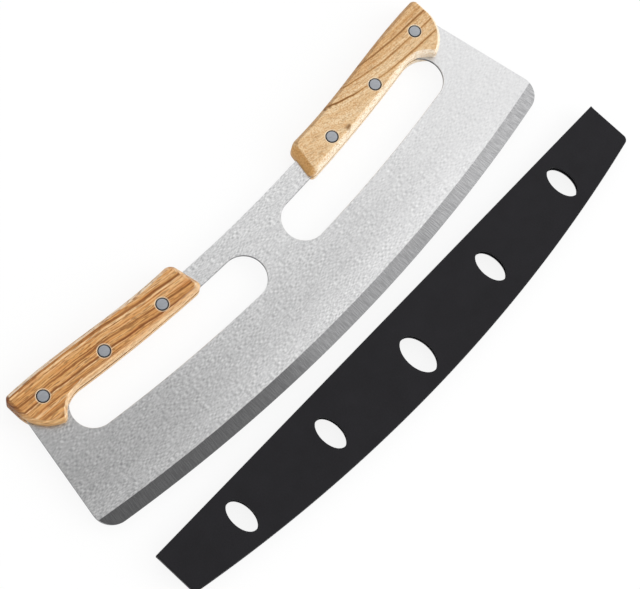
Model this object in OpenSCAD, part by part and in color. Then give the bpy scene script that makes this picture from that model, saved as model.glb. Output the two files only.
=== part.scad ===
// Rocking pizza knife: a curved two-handed blade with wooden grips, and its slip-on edge cover.
// It lies flat on the backs of its grips. The spine is towards +Y, the cutting edge towards -Y,
// and the cover lies beside the edge, in the blade's plane, as it is when it has just been pulled off.

/* [Blade] */
// Width of the blade at its widest, from corner to corner
blade_w = 355.6; // [330:0.1:380]
// Height of the blade at its middle, from the cutting edge to the spine
blade_h = 86.9; // [80:0.1:95]
// Thickness of the steel plate
blade_t = 2.0; // [1.5:0.1:3]
// Radius of the rocking edge
edge_r = 1000; // [850:1:1200]
// Radius of the hollow in the spine
spine_r = 842; // [750:1:1000]
// Angle by which each end leans in towards the spine
end_lean = 11.2; // [6:0.1:14]
// Radius of the two lower corners
corner_r = 12; // [6:0.5:16]
// Width of the ground bevel along the edge
bevel_w = 8.4; // [5:0.1:11]
// Thickness left at the very edge
edge_t = 0.3; // [0.1:0.05:0.6]

/* [Finger slots] */
// Height of each finger slot
slot_h = 26.3; // [23:0.1:29]
// Height of the steel strip between a slot and the spine
strip_h = 12.7; // [11:0.1:15]
// Steel left between the two slots
slot_gap = 23; // [15:0.5:35]
// Distance from a slot's outer end to the blade's widest point
slot_web = 30.7; // [28:0.1:34]

/* [Grips] */
// Thickness of each grip
grip_t = 16; // [13:0.5:20]
// Distance between the inner ends of the two grips
grip_gap = 88; // [76:1:100]
// Angle by which a grip's inner end leans outwards towards its top
grip_lean = 11; // [4:0.5:16]
// How far the wood reaches past the steel into the finger slot
grip_lip = 1.4; // [0.6:0.1:2.2]
// How far the wood stands above the spine at the grip's inner end
grip_rise_in = 7.6; // [6:0.1:10]
// How far the wood stands above the spine at the grip's outer end
grip_rise_out = 2.9; // [2.4:0.1:6]
// Radius of the hollow behind the hook
hook_r = 17.5; // [16:0.1:20]
// Radius of the round heel at the grip's outer end
heel_r = 22.8; // [21:0.1:25]
// Distance of the heel's centre outwards from the centre of the slot's end
heel_out = 9.5; // [8:0.1:11]
// Height of the heel's centre above the centre of the slot's end
heel_up = 25.1; // [23:0.1:27]
// Radius of the hook's tip
tip_r = 2.4; // [2:0.1:3]
// Radius of the grip's inner top corner
top_r_in = 6; // [4.5:0.1:8]
// Radius of the grip's outer top corner
top_r_out = 3.2; // [2.2:0.1:5]
// Radius of the grip's inner bottom corner
bottom_r_in = 3.6; // [3:0.1:5]
// Width of the sanded bevel along the finger side
ease_finger = 2.5; // [1:0.1:3]
// Width of the sanded bevel round the hook and the heel
ease_heel = 1.6; // [0.8:0.1:1.9]
// Width of the sanded bevel along the top
ease_top = 2.0; // [1:0.1:2.6]
// Width of the slanted face at the grip's inner end
ease_end = 3.3; // [2:0.1:4]
// Depth of the bevels, measured from the grip's face
ease_depth = 2.8; // [1.5:0.1:3.5]
// Depth of the slant at the grip's inner end, measured from the grip's face
ease_end_depth = 6.0; // [3:0.1:6.5]

/* [Rivets] */
// Distance from a grip's inner end to its first rivet
rivet_in = 25.1; // [20:0.1:30]
// Distance from the last rivet to the grip's outer end
rivet_out = 15.4; // [12:0.1:20]
// Height of the rivets above the slot's upper edge
rivet_up = 5.3; // [5:0.1:6]
// Diameter of the rivet heads
head_d = 7.6; // [7:0.1:8]
// Thickness of the rivet heads
head_t = 2.2; // [1.5:0.1:3]
// Width of the turned-down rim of a head
head_rim = 0.3; // [0.1:0.05:0.5]
// Outer diameter of the rivet's hollow shank
shank_d = 5.4; // [4.6:0.1:6]
// Diameter of the pin that is driven into the hollow shank
pin_d = 3.4; // [2.6:0.1:4]
// Room left past the end of the pin and of the shank
rivet_play = 0.3; // [0.1:0.1:1]

/* [Cover] */
// Thickness of the cover's two faces and its ends
cover_wall = 1.0; // [0.8:0.1:1.6]
// Thickness of the cover's floor, below the cutting edge
cover_floor = 1.2; // [0.8:0.1:2]
// Play between the blade and each face of the cover
cover_play = 0.4; // [0.3:0.1:0.8]
// Least gap at the cover's ends while it slides on
cover_end_gap = 0.3; // [0.3:0.1:1]
// Gap below the blade's corners when the cover is on
cover_corner_gap = 1.0; // [0.5:0.1:2]
// Gap below the middle of the cutting edge when the cover is on
cover_belly = 2.8; // [1.5:0.1:4]
// Height of the cover's mouth above the middle of the cutting edge when the cover is on
cover_reach = 42.5; // [36:0.1:46]
// Radius of the cover's lower corners
cover_corner_r = 3.5; // [2:0.1:6]
// Radius along the cover's lower edges
cover_edge_r = 0.7; // [0.3:0.1:1]
// Distance from the cutting edge to the mouth of the cover as it lies beside the blade
cover_off = 10.7; // [5:0.1:30]
// Sideways distance from the blade's middle to the cover's middle as it lies
cover_side = 10.6; // [0:0.1:14]

/* [Cover holes] */
// Distance between neighbouring holes
hole_pitch = 66.9; // [60:0.1:72]
// Height of the middle hole
hole_h_mid = 25.2; // [20:0.1:28]
// Width of the middle hole
hole_w_mid = 15.4; // [11:0.1:18]
// Height of the four other holes
hole_h = 21.2; // [16:0.1:24]
// Width of the four other holes
hole_w = 12.3; // [9:0.1:15]
// How far the middle hole sits below the middle of the cover's height
hole_drop = 3.7; // [0:0.1:5]

/* [Hidden] */

// Numbers of flats on the large arcs and on the small round features
large_fn = 1440;
small_fn = 64;
// The small overrun of a cut
over = 1;
// How far a rounded corner reaches past the arc that it meets
corner_bite = 0.08;
// Numbers of steps along the curved outlines
corner_steps = 12;
slot_steps = 24;
slot_end_steps = 16;
oval_steps = 48;
rim_steps = 4;
// Steps and shape of a grip's eased edges: power 1 is a flat bevel, and 2 is nearly round
ease_steps = 3;
ease_power = 1.4;
// The step that the eased edges start from: a little past the grip's face, which cuts them off
face_past = -0.1;

steel_color = "silver";
wood_color = "burlywood";
rivet_color = "lightsteelblue";
cover_color = "#2b2b2f";

// The middle of the cutting edge is [0, 0] here, with the spine towards +Y. The rocking edge, the
// slots, the finger side of the grips and the rows of rivets are arcs about one centre.
edge_c = [0, edge_r];
spine_c = [0, blade_h + spine_r];
corner_c = corner_centre(edge_c, edge_r, blade_w / 2, corner_r);

slot_top_r = edge_r - (blade_h - strip_h);
slot_mid_r = slot_top_r + slot_h / 2;
slot_floor_r = slot_top_r + slot_h;
slot_in_a = asin((slot_gap + slot_h) / 2 / slot_mid_r);
slot_out_a = asin((blade_w / 2 - slot_web - slot_h / 2) / slot_mid_r);
slot_end = on_arc(slot_mid_r, slot_out_a);

// Grip outline: the hollow behind the hook touches the finger side where the slot's end begins.
finger_r = slot_top_r + grip_lip;
hook_c = on_arc(finger_r + hook_r, slot_out_a);
heel_c = slot_end + [heel_out, heel_up];
heel_x = heel_c[0] + heel_r;
top_out = [heel_x, spine_y(heel_x) + grip_rise_out];
top_in_y = spine_y(grip_gap / 2) + grip_rise_in;
// Slopes of the top edge at its two ends
top_slope_in = 1;
top_slope_out = 2;

// Rivets: three in a row along the strip, evenly spaced on an arc just above the slot
rivet_r = slot_top_r - rivet_up;
rivet_a = asin((grip_gap / 2 + rivet_in) / rivet_r);
rivet_step = (asin((heel_x - rivet_out) / rivet_r) - rivet_a) / 2;

// Cover: it slides on along a straight slanted line. Its widest fit is at the blade's corners, so the
// slant over that last stretch sets the play at its ends, half of it to each side.
cover_on = cover_reach + cover_off;
cover_grip = (cover_reach - corner_c[1]) / cover_on;
cover_sway = cover_side * cover_grip / (2 - cover_grip);
cover_in_w = blade_w / 2 + cover_sway + cover_end_gap;
cover_half = cover_in_w + cover_wall;
cover_cavity_t = blade_t + 2 * cover_play;
cover_t = cover_cavity_t + 2 * cover_wall;
// The floor's arc passes below the middle of the edge and below the corners, by the gaps named above.
floor_m = cover_belly - corner_r - cover_corner_gap;
floor_x = corner_c[0] + cover_sway;
floor_cy = (pow(floor_x, 2) + pow(corner_c[1], 2) - pow(floor_m, 2)) / (2 * (floor_m + corner_c[1]));
floor_r = floor_cy + cover_belly;

// The origin is the middle of the whole object's footprint, on the surface that it lies on.
frame_x = (max(blade_w / 2, cover_side + cover_half) - max(blade_w / 2, cover_half - cover_side)) / 2;
cover_foot = -cover_off - cover_reach - cover_belly - cover_floor;
frame_y = (max([for (p = grip_outline(0)) p[1]]) + cover_foot) / 2;
frame_z = grip_t / 2;

echo(cover_slide = [-cover_side - cover_sway, cover_on, 0], frame = [frame_x, frame_y, frame_z]);

function heading(a) = [cos(a), sin(a)];
// A point at radius r about the edge's centre, at angle a from the knife's middle line
function on_arc(r, a) = [r * sin(a), edge_r - r * cos(a)];
// The points between angles a and b that cut that arc into n steps, without its two ends
function arc_inside(r, a, b, n) = [for (i = [1:n - 1]) on_arc(r, a + (b - a) * i / n)];
function spine_y(x) = spine_c[1] - sqrt(pow(spine_r, 2) - pow(x, 2));
// Centre of the corner circle between a plate's side, half its width out, and the arc of radius r
// about mid
function corner_centre(mid, r, half, corner) =
    [half - corner, mid[1] - sqrt(pow(r - corner + corner_bite, 2) - pow(half - corner, 2))];
// Points along an arc about c, from angle a to angle b in n steps
function arc(c, r, a, b, n) = [for (i = [0:n]) c + r * heading(a + (b - a) * i / n)];
// A corner at p rounded to radius r, between a line arriving at angle a and one leaving at angle b
function fillet(p, a, b, r, n) =
    arc(p - r * tan((b - a) / 2) * heading(a) + r * heading(a + 90), r, a - 90, b - 90, n);
// The inner points of a cubic curve
function curve(p, q, r, s, n) = [for (i = [1:n - 1])
    let (t = i / n, u = 1 - t) u * u * u * p + 3 * u * u * t * q + 3 * u * t * t * r + t * t * t * s];
// Where two circles meet, on the side away from the knife's middle
function meet(c, r, d, s) =
    let (l = norm(d - c), e = (d - c) / l, a = (r * r - s * s + l * l) / (2 * l))
    c + a * e + sqrt(r * r - a * a) * [e[1], -e[0]];
function angle_of(v) = atan2(v[1], v[0]);
// Points given a third value: the depth of the bevel there, going from d to e along them
function deep(pts, d, e) = [for (i = [0:len(pts) - 1])
    [pts[i][0], pts[i][1], d + (e - d) * i / max(1, len(pts) - 1)]];

// The right grip's outline, anticlockwise from the inner bottom corner. ease goes from 0, the full
// outline, to 1, the outline of the flat face inside the sanded bevels.
function grip_outline(ease) =
    let (
        low_r = finger_r - ease * ease_finger,
        lean = grip_lean,
        in_x = grip_gap / 2 + ease * ease_end / cos(lean),
        low_y = edge_r - sqrt(pow(low_r, 2) - pow(in_x, 2)),
        strip_y = edge_r - slot_top_r,
        low_in = [in_x + (low_y - strip_y) * tan(lean), low_y],
        low_a = asin(low_in[0] / low_r),
        round_low = bottom_r_in - ease * 0.8 * ease_finger,
        hollow_r = hook_r + ease * ease_heel,
        out_r = heel_r - ease * ease_heel,
        point_r = tip_r - ease * ease_heel,
        point_c = meet(hook_c, hollow_r + point_r, heel_c, out_r - point_r),
        point_a = angle_of(hook_c - point_c) + 360,
        point_b = angle_of(point_c - heel_c),
        high_out = top_out - ease * [ease_heel, ease_top],
        high_y = top_in_y - ease * ease_top,
        high_in = [in_x + (high_y - strip_y) * tan(lean), high_y],
        round_out = top_r_out - ease * ease_heel,
        round_in = top_r_in - ease * ease_top,
        span = (high_out[0] - high_in[0]) / 3,
        corner_low = fillet(low_in, -90 - lean, low_a, round_low, 6),
        corner_out = fillet(high_out, 90, 180 + top_slope_out, round_out, 6),
        corner_in = fillet(high_in, 180 + top_slope_in, 270 - lean, round_in, 7),
        from = corner_out[len(corner_out) - 1],
        to = corner_in[0]
    )
    concat(
        deep(corner_low, ease_end_depth, ease_depth),
        deep(arc_inside(low_r, low_a, slot_out_a, 10), ease_depth, ease_depth),
        deep(arc(hook_c, hollow_r, 90 + slot_out_a, point_a - 180, 7), ease_depth, ease_depth),
        deep(arc(point_c, point_r, point_a, point_b + 360, 5), ease_depth, ease_depth),
        deep(arc(heel_c, out_r, point_b + 8, 0, 8), ease_depth, ease_depth),
        deep(corner_out, ease_depth, ease_depth),
        deep(
            curve(from, from - span * heading(top_slope_out), to + span * heading(top_slope_in), to, 12),
            ease_depth, ease_depth
        ),
        deep(corner_in, ease_depth, ease_end_depth)
    );

// Solid through a stack of rings with the same number of points each
module loft(rings) {
    n = len(rings[0]);
    m = len(rings);
    sides = [for (j = [0:m - 2]) for (i = [0:n - 1])
        let (a = j * n + i, b = j * n + (i + 1) % n)
        each [[a, a + n, b], [b, a + n, b + n]]];
    foot = [for (i = [0:n - 1]) i];
    top = [for (i = [0:n - 1]) m * n - 1 - i];
    polyhedron([for (ring = rings) each ring], concat(sides, [foot, top]));
}

// Plate outline down to an arc of radius r about mid, which is left to the caller. Its sides lean in
// towards the top, and its rounded lower corners reach just past the arc, so that they cut it cleanly.
function plate_outline(mid, r, half, lean, corner, top) =
    let (
        c = corner_centre(mid, r, half, corner),
        side = c + corner * heading(lean),
        right = concat(
            [[side[0] + (side[1] - top) * tan(lean), top]],
            arc(c, corner, lean, angle_of(c - mid), corner_steps)
        ),
        n = len(right)
    )
    concat(right, [[0, mid[1] - 1.1 * r]], [for (i = [n - 1:-1:0]) [-right[i][0], right[i][1]]]);

// A finger slot: a band between two arcs, with round ends
function slot_outline() = concat(
    arc(on_arc(slot_mid_r, slot_in_a), slot_h / 2, 90 + slot_in_a, 270 + slot_in_a, slot_end_steps),
    arc_inside(slot_floor_r, slot_in_a, slot_out_a, slot_steps),
    arc(slot_end, slot_h / 2, slot_out_a - 90, slot_out_a + 90, slot_end_steps),
    arc_inside(slot_top_r, slot_out_a, slot_in_a, slot_steps)
);

function oval(w, h) = [for (i = [0:oval_steps - 1])
    [w / 2 * cos(360 * i / oval_steps), h / 2 * sin(360 * i / oval_steps)]];

// A flat shape given a thickness, half of it to each side of the blade's plane
module slab(t) {
    translate([0, 0, -t / 2]) linear_extrude(t) children();
}

// A round rod along Z, half of it to each side of the origin
module rod(d, h) {
    cylinder(d = d, h = h, center = true, $fn = small_fn);
}

// Places the children at rivet i of a row, counted from the grip's inner end
module at_rivet(i) {
    translate(on_arc(rivet_r, rivet_a + i * rivet_step)) children();
}

// One side of the knife: 1 is right, -1 is left
module on_side(side) {
    mirror([side < 0 ? 1 : 0, 0, 0]) children();
}

// From the middle of the cutting edge to the object's own frame
module placed() {
    translate([-frame_x, -frame_y, frame_z]) children();
}

module blade() {
    inner_r = edge_r - 2 * blade_h;
    bevel_r = edge_r - bevel_w;
    color(steel_color)
    difference() {
        intersection() {
            translate(edge_c)
            rotate_extrude($fn = large_fn)
            polygon([
                [inner_r, -blade_t / 2], [bevel_r, -blade_t / 2], [edge_r, -edge_t / 2],
                [edge_r, edge_t / 2], [bevel_r, blade_t / 2], [inner_r, blade_t / 2]
            ]);
            slab(blade_t + over)
            difference() {
                polygon(plate_outline(edge_c, edge_r, blade_w / 2, end_lean, corner_r, 2 * blade_h));
                translate(spine_c) circle(spine_r, $fn = large_fn);
            }
        }
        for (side = [-1, 1]) on_side(side) {
            slab(blade_t + over) polygon(slot_outline());
            for (i = [0:2]) at_rivet(i) rod(shank_d, blade_t + over);
        }
    }
}

// The grip's outline at step t of its eased edges, and the height that it has there on side s
function ring(t, s) = [for (p = grip_outline(pow(1 - t, ease_power)))
    [p[0], p[1], s * (grip_t / 2 - p[2] * t)]];
function lifted(ring, z) = [for (p = ring) [p[0], p[1], z]];

// One piece of wood, eased all round, with a kerf that the steel strip sits in up to its spine
module grip() {
    steps = [face_past, each [for (i = [1:ease_steps]) i / ease_steps]];
    low = [for (t = steps) ring(t, -1)];
    high = [for (i = [0:ease_steps]) ring(steps[ease_steps - i], 1)];
    foot = lifted(low[0], -grip_t / 2 - over);
    color(wood_color)
    difference() {
        intersection() {
            loft(concat([foot], low, high, [lifted(foot, grip_t / 2 + over)]));
            translate([0, -blade_h, -grip_t / 2]) cube([blade_w, 4 * blade_h, grip_t]);
        }
        slab(blade_t)
        difference() {
            square([blade_w, 2 * blade_h]);
            translate(spine_c) circle(spine_r, $fn = large_fn);
        }
        for (i = [0:2]) at_rivet(i) {
            rod(shank_d, grip_t);
            for (s = [-1, 1]) translate([0, 0, s * grip_t / 2]) rod(head_d, 2 * head_t);
        }
    }
}

// A head with a turned-down rim, its face up at z = 0
module rivet_head() {
    translate([0, 0, -head_rim])
    cylinder(d1 = head_d, d2 = head_d - 2 * head_rim, h = head_rim, $fn = small_fn);
    translate([0, 0, -head_t])
    cylinder(d = head_d, h = head_t - head_rim, $fn = small_fn);
}

// The half with the solid pin, driven in from the front
module rivet_pin() {
    length = grip_t - 2 * head_t - rivet_play;
    color(rivet_color)
    translate([0, 0, grip_t / 2]) {
        rivet_head();
        translate([0, 0, -head_t - length]) cylinder(d = pin_d, h = length, $fn = small_fn);
    }
}

// The half with the hollow shank, from the back
module rivet_socket() {
    length = grip_t - 2 * head_t - rivet_play;
    color(rivet_color)
    rotate([180, 0, 0])
    translate([0, 0, grip_t / 2]) {
        rivet_head();
        translate([0, 0, -head_t - length])
        difference() {
            cylinder(d = shank_d, h = length, $fn = small_fn);
            translate([0, 0, -over]) cylinder(d = pin_d, h = length + over, $fn = small_fn);
        }
    }
}

// The height of the cover at x, from its lower edge to its mouth
function cover_height(x) = cover_reach - floor_cy + sqrt(pow(floor_r + cover_floor, 2) - x * x);

// The i-th of the cover's holes, counted from the middle one
module cover_hole(i) {
    x = i * hole_pitch;
    drop = i == 0 ? hole_drop : 0;
    translate([x, cover_reach - cover_height(x) / 2 - drop])
    polygon(i == 0 ? oval(hole_w_mid, hole_h_mid) : oval(hole_w, hole_h));
}

// A flat sleeve, open along its mouth, drawn where it sits on the blade and laid beside it
module edge_cover() {
    floor_c = [0, floor_cy];
    in_corner_r = cover_corner_r - cover_wall;
    outer_r = floor_r + cover_floor;
    rim_r = outer_r - cover_edge_r;
    rim_z = cover_t / 2 - cover_edge_r;
    color(cover_color)
    translate([cover_side, -cover_on, 0])
    difference() {
        intersection() {
            translate(floor_c)
            rotate_extrude($fn = large_fn)
            polygon(concat(
                [[floor_r - blade_h, -cover_t / 2]],
                arc([rim_r, -rim_z], cover_edge_r, -90, 0, rim_steps),
                arc([rim_r, rim_z], cover_edge_r, 0, 90, rim_steps),
                [[floor_r - blade_h, cover_t / 2]]
            ));
            slab(cover_t + over)
                polygon(plate_outline(floor_c, outer_r, cover_half, 0, cover_corner_r, cover_reach));
        }
        slab(cover_cavity_t)
        intersection() {
            translate(floor_c) circle(floor_r, $fn = large_fn);
            polygon(plate_outline(floor_c, floor_r, cover_in_w, 0, in_corner_r, cover_reach + over));
        }
        slab(cover_t + over)
        for (i = [-2:2]) cover_hole(i);
    }
}

placed() blade();
placed() on_side(-1) grip();  // left_grip
placed() on_side(1) grip();  // right_grip
placed() on_side(-1) at_rivet(0) rivet_pin();  // left_inner_rivet_pin
placed() on_side(-1) at_rivet(1) rivet_pin();  // left_middle_rivet_pin
placed() on_side(-1) at_rivet(2) rivet_pin();  // left_outer_rivet_pin
placed() on_side(1) at_rivet(0) rivet_pin();  // right_inner_rivet_pin
placed() on_side(1) at_rivet(1) rivet_pin();  // right_middle_rivet_pin
placed() on_side(1) at_rivet(2) rivet_pin();  // right_outer_rivet_pin
placed() on_side(-1) at_rivet(0) rivet_socket();  // left_inner_rivet_socket
placed() on_side(-1) at_rivet(1) rivet_socket();  // left_middle_rivet_socket
placed() on_side(-1) at_rivet(2) rivet_socket();  // left_outer_rivet_socket
placed() on_side(1) at_rivet(0) rivet_socket();  // right_inner_rivet_socket
placed() on_side(1) at_rivet(1) rivet_socket();  // right_middle_rivet_socket
placed() on_side(1) at_rivet(2) rivet_socket();  // right_outer_rivet_socket
placed() edge_cover();
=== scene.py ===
# Looks of the rocking pizza knife and its edge cover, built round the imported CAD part.
import math
from functools import partial

import bmesh
import bpy
from mathutils import Matrix, Vector


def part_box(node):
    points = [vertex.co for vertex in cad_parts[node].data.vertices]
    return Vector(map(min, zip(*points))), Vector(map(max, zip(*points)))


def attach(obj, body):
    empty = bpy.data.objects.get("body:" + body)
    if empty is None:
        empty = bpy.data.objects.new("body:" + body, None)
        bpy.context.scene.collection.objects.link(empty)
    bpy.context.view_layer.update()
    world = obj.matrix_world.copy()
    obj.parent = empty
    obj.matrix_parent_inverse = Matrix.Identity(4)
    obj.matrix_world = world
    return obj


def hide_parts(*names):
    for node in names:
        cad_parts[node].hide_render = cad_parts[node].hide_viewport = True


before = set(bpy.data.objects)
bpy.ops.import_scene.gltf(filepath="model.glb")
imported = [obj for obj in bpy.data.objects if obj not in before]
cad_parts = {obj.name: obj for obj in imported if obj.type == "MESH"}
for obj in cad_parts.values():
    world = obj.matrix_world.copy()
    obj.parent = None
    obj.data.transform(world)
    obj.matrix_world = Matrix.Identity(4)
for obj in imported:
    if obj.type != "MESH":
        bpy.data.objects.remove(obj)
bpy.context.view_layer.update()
print("loaded", len(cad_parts), "nodes")

# The middle of the cutting edge, in the blade's mid-plane: all outlines below are in mm from here
bladeLow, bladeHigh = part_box("blade")
knifeOrigin = Vector(((bladeLow.x + bladeHigh.x) / 2, bladeLow.y, (bladeLow.z + bladeHigh.z) / 2))


def place(x, y, z=0.0):
    return knifeOrigin + Vector((x, y, z)) / 1000


def unplace(point):
    return (point - knifeOrigin) * 1000


# Camera
cameraView = {
    "focalPixels": 2200.0,
    "imageWidth": 640,
    "tilt": (-6.908, 17.019, 2.540),  # degrees about x, y and z
    "roll": -45.0,
    "offset": (0.0726, 39.2552, -1224.611),  # mm, seen from the camera
    "aim": (0.0, 64.56, 0.0),  # the point of the knife that the offset is measured from
    "sensorWidth": 36.0,  # mm
    "farthest": 20.0,  # m
}


def makeCamera(view):
    tiltX, tiltY, tiltZ = (math.radians(a) for a in view["tilt"])
    turn = Matrix.Rotation(tiltZ, 3, "Z") @ Matrix.Rotation(tiltX, 3, "X") @ Matrix.Rotation(tiltY, 3, "Y")
    back = turn.transposed()
    spot = -(back @ Vector(view["offset"])) + Vector(view["aim"])
    data = bpy.data.cameras.new("photoCamera")
    data.sensor_width = view["sensorWidth"]
    data.lens = view["focalPixels"] / view["imageWidth"] * data.sensor_width
    data.clip_end = view["farthest"]
    camera = bpy.data.objects.new("photoCamera", data)
    roll = Matrix.Rotation(math.radians(view["roll"]), 3, "Z")
    camera.matrix_world = Matrix.Translation(place(*spot)) @ (back @ roll).to_4x4()
    bpy.context.scene.collection.objects.link(camera)
    bpy.context.scene.camera = camera


makeCamera(cameraView)
print("camera set")


# Node and mesh helpers
def srgb(code):
    channels = [int(code[i:i + 2], 16) / 255 for i in (1, 3, 5)]
    return [c / 12.92 if c <= 0.04045 else ((c + 0.055) / 1.055) ** 2.4 for c in channels] + [1.0]


# Inputs come by name or number, or as a list in their order. Each is a number, a colour, a socket, or a node
# whose first output in use is linked. A MapRange takes a value, its range, and the range that it becomes.
def addNode(tree, kind, inputs=(), **settings):
    node = tree.nodes.new("ShaderNode" + kind)
    for name, value in settings.items():
        setattr(node, name, value)
    for name, value in inputs.items() if isinstance(inputs, dict) else enumerate(inputs):
        if isinstance(value, bpy.types.Node):
            value = next(output for output in value.outputs if output.enabled)
        if isinstance(value, bpy.types.NodeSocket):
            tree.links.new(value, node.inputs[name])
        else:
            node.inputs[name].default_value = value
    return node


def startMaterial(name):
    material = bpy.data.materials.new(name)
    material.use_nodes = True
    material.node_tree.nodes.clear()
    return material, partial(addNode, material.node_tree)


# The stops of a ramp are places from 0 to 1, each with its grey level
def fillRamp(ramp, stops, joining="LINEAR"):
    for i, (spot, level) in enumerate(stops):
        if i in (0, len(stops) - 1):
            stop = ramp.elements[0 if i == 0 else -1]
        else:
            stop = ramp.elements.new(spot)
        stop.position = spot
        stop.color = (level, level, level, 1.0)
    ramp.interpolation = joining


def heading(degrees):
    return math.cos(math.radians(degrees)), math.sin(math.radians(degrees))


def arcPoints(centre, radius, start, end, count):
    angles = [start + (end - start) * i / count for i in range(count + 1)]
    return [(centre[0] + radius * heading(a)[0], centre[1] + radius * heading(a)[1]) for a in angles]


# Moves each point of an anticlockwise loop inwards, by one amount or by one for each point
def insetLoop(points, amount):
    moved = []
    for i, (x, y) in enumerate(points):
        before, after = Vector(points[i - 1]), Vector(points[(i + 1) % len(points)])
        first, second = (Vector((x, y)) - before).normalized(), (after - Vector((x, y))).normalized()
        normalA, normalB = Vector((-first.y, first.x)), Vector((-second.y, second.x))
        step = amount[i] if isinstance(amount, (list, tuple)) else amount
        shift = (normalA + normalB) * step / max(0.4, 1 + normalA.dot(normalB))
        moved.append((x + shift.x, y + shift.y))
    return moved


# A mesh built from rings of points. Each face keeps the number of the surface that it is part of.
class Sculpt:
    def __init__(self):
        self.bm = bmesh.new()
        self.surface = self.bm.faces.layers.int.new("surface")

    def ring(self, points, heights):
        if not isinstance(heights, (list, tuple)):
            heights = [heights] * len(points)
        return [self.bm.verts.new(place(p[0], p[1], z)) for p, z in zip(points, heights)]

    def paint(self, face, surface, material):
        face[self.surface] = surface
        face.material_index = material
        face.smooth = True

    def join(self, low, high, surface, closed=True, material=0):
        count = len(low)
        for i in range(count if closed else count - 1):
            j = (i + 1) % count
            corners = []
            for v in (low[i], low[j], high[j], high[i]):
                if v not in corners:
                    corners.append(v)
            if len(corners) > 2:
                self.paint(self.bm.faces.new(corners), surface, material)

    def joinAll(self, rings, surfaces):
        for ring, following, surface in zip(rings, rings[1:], surfaces):
            self.join(ring, following, surface)

    def fill(self, loops, surface, normal, material=0):
        edges = []
        for loop in loops:
            for i, v in enumerate(loop):
                ends = (loop[i - 1], v)
                edges.append(self.bm.edges.get(ends) or self.bm.edges.new(ends))
        made = bmesh.ops.triangle_fill(
            self.bm, use_beauty=True, use_dissolve=False, edges=edges, normal=normal)
        for face in made["geom"]:
            if isinstance(face, bmesh.types.BMFace):
                self.paint(face, surface, material)

    # Surfaces shade smoothly in themselves and meet at sharp edges
    def finish(self, name, body, nodes, materials, grainMap=None):
        bmesh.ops.recalc_face_normals(self.bm, faces=self.bm.faces)
        for edge in self.bm.edges:
            edge.smooth = len({f[self.surface] for f in edge.link_faces}) < 2
        if grainMap:
            layer = self.bm.loops.layers.uv.new("grain")
            for face in self.bm.faces:
                for corner in face.loops:
                    corner[layer].uv = grainMap(face[self.surface], unplace(corner.vert.co))
        openEdges = sum(1 for e in self.bm.edges if len(e.link_faces) != 2)
        mesh = bpy.data.meshes.new(name)
        self.bm.to_mesh(mesh)
        self.bm.free()
        for material in materials:
            mesh.materials.append(material)
        piece = bpy.data.objects.new(name, mesh)
        bpy.context.scene.collection.objects.link(piece)
        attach(piece, body)
        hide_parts(*nodes)
        print("made", name, len(mesh.polygons), "faces,", openEdges, "open edges")
        return piece


def circle(centre, radius, count=48):
    return arcPoints(centre, radius, 0, 360, count)[:-1]


def mirrored(points):
    return [(-p[0], p[1]) for p in reversed(points)]


quarterTurn = [math.radians(90 * i / 4) for i in range(1, 5)]  # steps that round an edge

# Rivets, in mm. Nickel silver, ground flush with the wood on a belt: a dull grey face inside a rim painted
# dark as painted shade.
# The blade and the grips are bored for them, so their sizes come first.
rivet = {
    "head": 7.6,
    "headThickness": 2.2,
    "shank": 5.4,
    "pin": 3.4,
    "play": 0.3,  # left between a pin's end and its socket
    "rim": 0.6,  # rolled edge of the head, which the belt misses
    "sunk": 0.06,  # of the rim below the wood's face
    "crown": [(0.0, 0.06), (0.6, 0.04)],  # share of the head's radius, and how far it rises above the rim
    "gap": 0.15,  # between the head and the wood
    "woodRim": 0.22,  # softened edge of the wood's hole
    "sides": 72,
    "metals": {
        "beltGroundNickelSilver": {"dark": "#8C9096", "light": "#B4B7BC"},
        "dulledNickelSilver": {"dark": "#3E3E42", "light": "#55555A"},
    },
    "scratch": (2.5, 0.3125, 2.5),  # along the belt, across it and deep; drawn as coarse as it shows
    "scratchTurn": 0.5,  # radians from the knife's length
    "roughness": (0.3, 0.48),
    "bump": (0.2, 0.00003),  # strength, and depth in m
}
rivetNames = [
    side + "_" + spot + "_rivet" for side in ("left", "right") for spot in ("inner", "middle", "outer")]


def rivetSpot(name):
    low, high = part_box(name + "_pin")
    centre = unplace((low + high) / 2)
    return centre.x, centre.y


rivetSpots = {name: rivetSpot(name) for name in rivetNames}
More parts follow.
